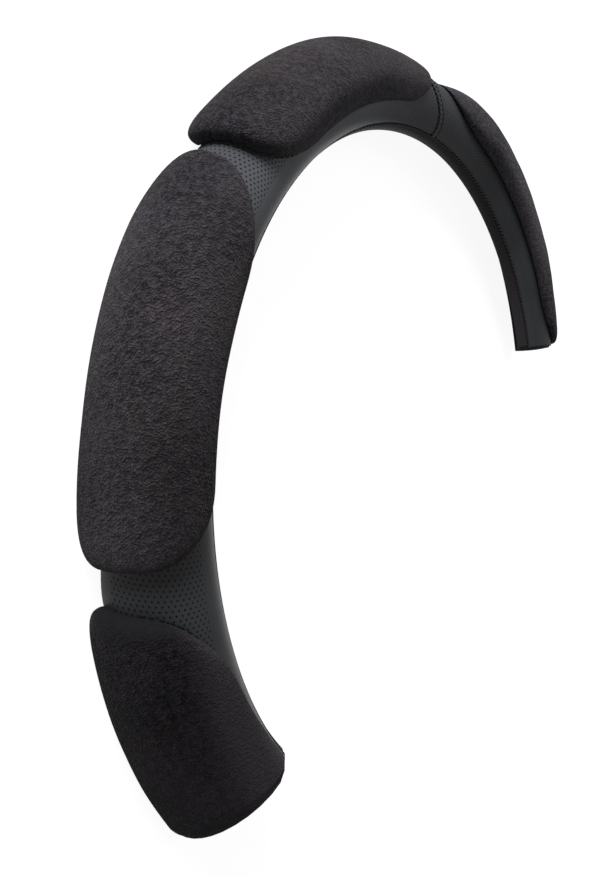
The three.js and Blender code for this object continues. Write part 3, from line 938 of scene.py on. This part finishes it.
# %% Table of pieces
stands_for = {liner: ["liner"], leather_left: ["leather_left"], leather_right: ["leather_right"],
              hem: ["hem_strip"], hem_stitches_and_hole_shade: [], rails: [], rungs: [], foot_thread_and_shadow: []}
stands_for |= {piece: [f"pad_{key}_cover", f"pad_{key}_foam"] for key, piece in pads.items()}
for piece, nodes in stands_for.items():
    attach(piece, "root")
    if nodes:
        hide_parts(*nodes)
print("pieces:", len(stands_for))

# %% [markdown]
# ## Floor, light and camera
# The cover lies on its back on a pale floor.  The photograph's ground is pure white, which more
# light would only reach by bleaching the cover.  So the floor is an ordinary pale one for the
# light that it throws back, and to the camera, in a mirror and through glass it shines white by
# itself, with a little diffuse on top that keeps the cover's shadow.  What the cover mirrors of
# it is white inside the arc, and darker under the cover and past it.

# %% Floor
FLOOR_HALF, FLOOR_PALE, FLOOR_LIT = 3.0, (0.6, 0.6, 0.6, 1), (0.14, 0.14, 0.14, 1)
GLOW, SHADE, SHADE_FROM, SHADE_TO = 0.92, 0.70, 0.145, 0.178

floor_z = float(cad_box[0].z)
corners = FLOOR_HALF * np.array([[-1, -1, 0], [1, -1, 0], [1, 1, 0], [-1, 1, 0]])
floor = make_mesh("pale_floor", corners + [0, 0, floor_z], [[0, 1, 2, 3]])
pale = Shader("pale_floor", Base_Color=FLOOR_PALE, Roughness=0.9, Specular_IOR_Level=0.0)
seen = pale.node("ShaderNodeLightPath")
mirrored, through_glass = seen.beside("Is Glossy Ray"), seen.beside("Is Transmission Ray")
from_axis = pale.vector("LENGTH", {0: pale.place()}, 1)
glow = (1 - mirrored) * GLOW + mirrored * (1.0 - from_axis.step(SHADE_FROM, SHADE_TO) * SHADE)
white = pale.node("ShaderNodeEmission", {}, {"Color": (1, 1, 1, 1), "Strength": glow})
lit = pale.node("ShaderNodeBsdfDiffuse", {}, {"Color": FLOOR_LIT})
shining = pale.node("ShaderNodeAddShader", {}, {0: white, 1: lit})
directly = seen.apply("MAXIMUM", mirrored).apply("MAXIMUM", through_glass)
pale.show(pale.node("ShaderNodeMixShader", {}, {0: directly, 1: pale.plain(), 2: shining}))
floor.data.materials.append(pale.material)
print("floor at", round(floor_z, 4))

# %% [markdown]
# Past the floor's edge the camera looks into the world.  It is white to the camera and a dim even
# sky to everything else.

# %% Sky
SKY = 0.34

world = bpy.data.worlds.new("soft_sky")
bpy.context.scene.world = world
world.use_nodes = True
sky = world.node_tree
dim, clear = sky.nodes["Background"], sky.nodes.new("ShaderNodeBackground")
dim.inputs["Strength"].default_value = SKY
for back in (dim, clear):
    back.inputs["Color"].default_value = (1, 1, 1, 1)
either, ray = sky.nodes.new("ShaderNodeMixShader"), sky.nodes.new("ShaderNodeLightPath")
sky.links.new(ray.outputs["Is Camera Ray"], either.inputs[0])
sky.links.new(dim.outputs[0], either.inputs[1])
sky.links.new(clear.outputs[0], either.inputs[2])
sky.links.new(either.outputs[0], sky.nodes["World Output"].inputs["Surface"])
print("sky strength", SKY)

# %% [markdown]
# The pads are brightest on their upper left flanks, so one broad lamp stands there, low and a good
# way off.  A weak one on the other side keeps the right arm from going black.  Neither shows in
# reflections, because a lamp's square in the leather would give the set away.


# %% Lamps
def soft_lamp(name, place, target, width, watts):
    """Square area lamp at a place, its back along the line from the target to it."""
    data = bpy.data.lights.new(name, "AREA")
    data.size, data.energy = width, watts
    lamp = bpy.data.objects.new(name, data)
    bpy.context.scene.collection.objects.link(lamp)
    z = np.array(place) - np.array(target)
    z /= np.linalg.norm(z)
    x = np.cross([0, 1, 0], z)
    x /= np.linalg.norm(x)
    turn = np.stack([x, np.cross(z, x), z], 1)
    lamp.matrix_world = Matrix([[*turn[i], place[i]] for i in range(3)] + [[0, 0, 0, 1]])
    lamp.visible_glossy = False
    return lamp


lamps = [soft_lamp("broad_lamp", (-1.05, 0.95, 0.45), (-0.1, 0.1, 0), 0.6, 44),
         soft_lamp("side_lamp", (0.55, 0.62, 0.62), (0.12, 0.1, 0), 0.5, 4)]
bpy.context.scene.view_settings.view_transform = "Standard"
print("lamps:", [lamp.name for lamp in lamps])

# %% [markdown]
# The camera's place, turn and lens were worked out beforehand from the photograph's outline.  It
# looks across the lower left of the wheel from close by, with the top of the picture towards
# 12 o'clock.  The photograph's middle isn't its frame's middle, so the lens is shifted.

# %% Camera
RIGHT = (0.59205094, 0.13211416, 0.79499782)
UP = (-0.24204355, 0.97007845, 0.01904535)
BACK = (-0.76869409, -0.20369991, 0.60631324)
EYE = (-0.329379, -0.027620, 0.174021)
FRAME_HIGH, FOCAL, MIDDLE_DOWN = 876, 689.943, 331.038

lens = bpy.data.cameras.new("camera")
lens.sensor_width = 36.0
lens.lens = FOCAL / FRAME_HIGH * lens.sensor_width
lens.shift_y = (MIDDLE_DOWN - FRAME_HIGH / 2) / FRAME_HIGH
lens.clip_start = 0.01
camera = bpy.data.objects.new("camera", lens)
bpy.context.scene.collection.objects.link(camera)
turned_to = [[RIGHT[i], UP[i], BACK[i], EYE[i]] for i in range(3)]
camera.matrix_world = Matrix(turned_to + [[0, 0, 0, 1]])
bpy.context.scene.camera = camera
print("lens", round(lens.lens, 2), "shift", round(lens.shift_y, 4))

# %% [markdown]
# ## Finish

# %% Finish
bpy.context.view_layer.update()
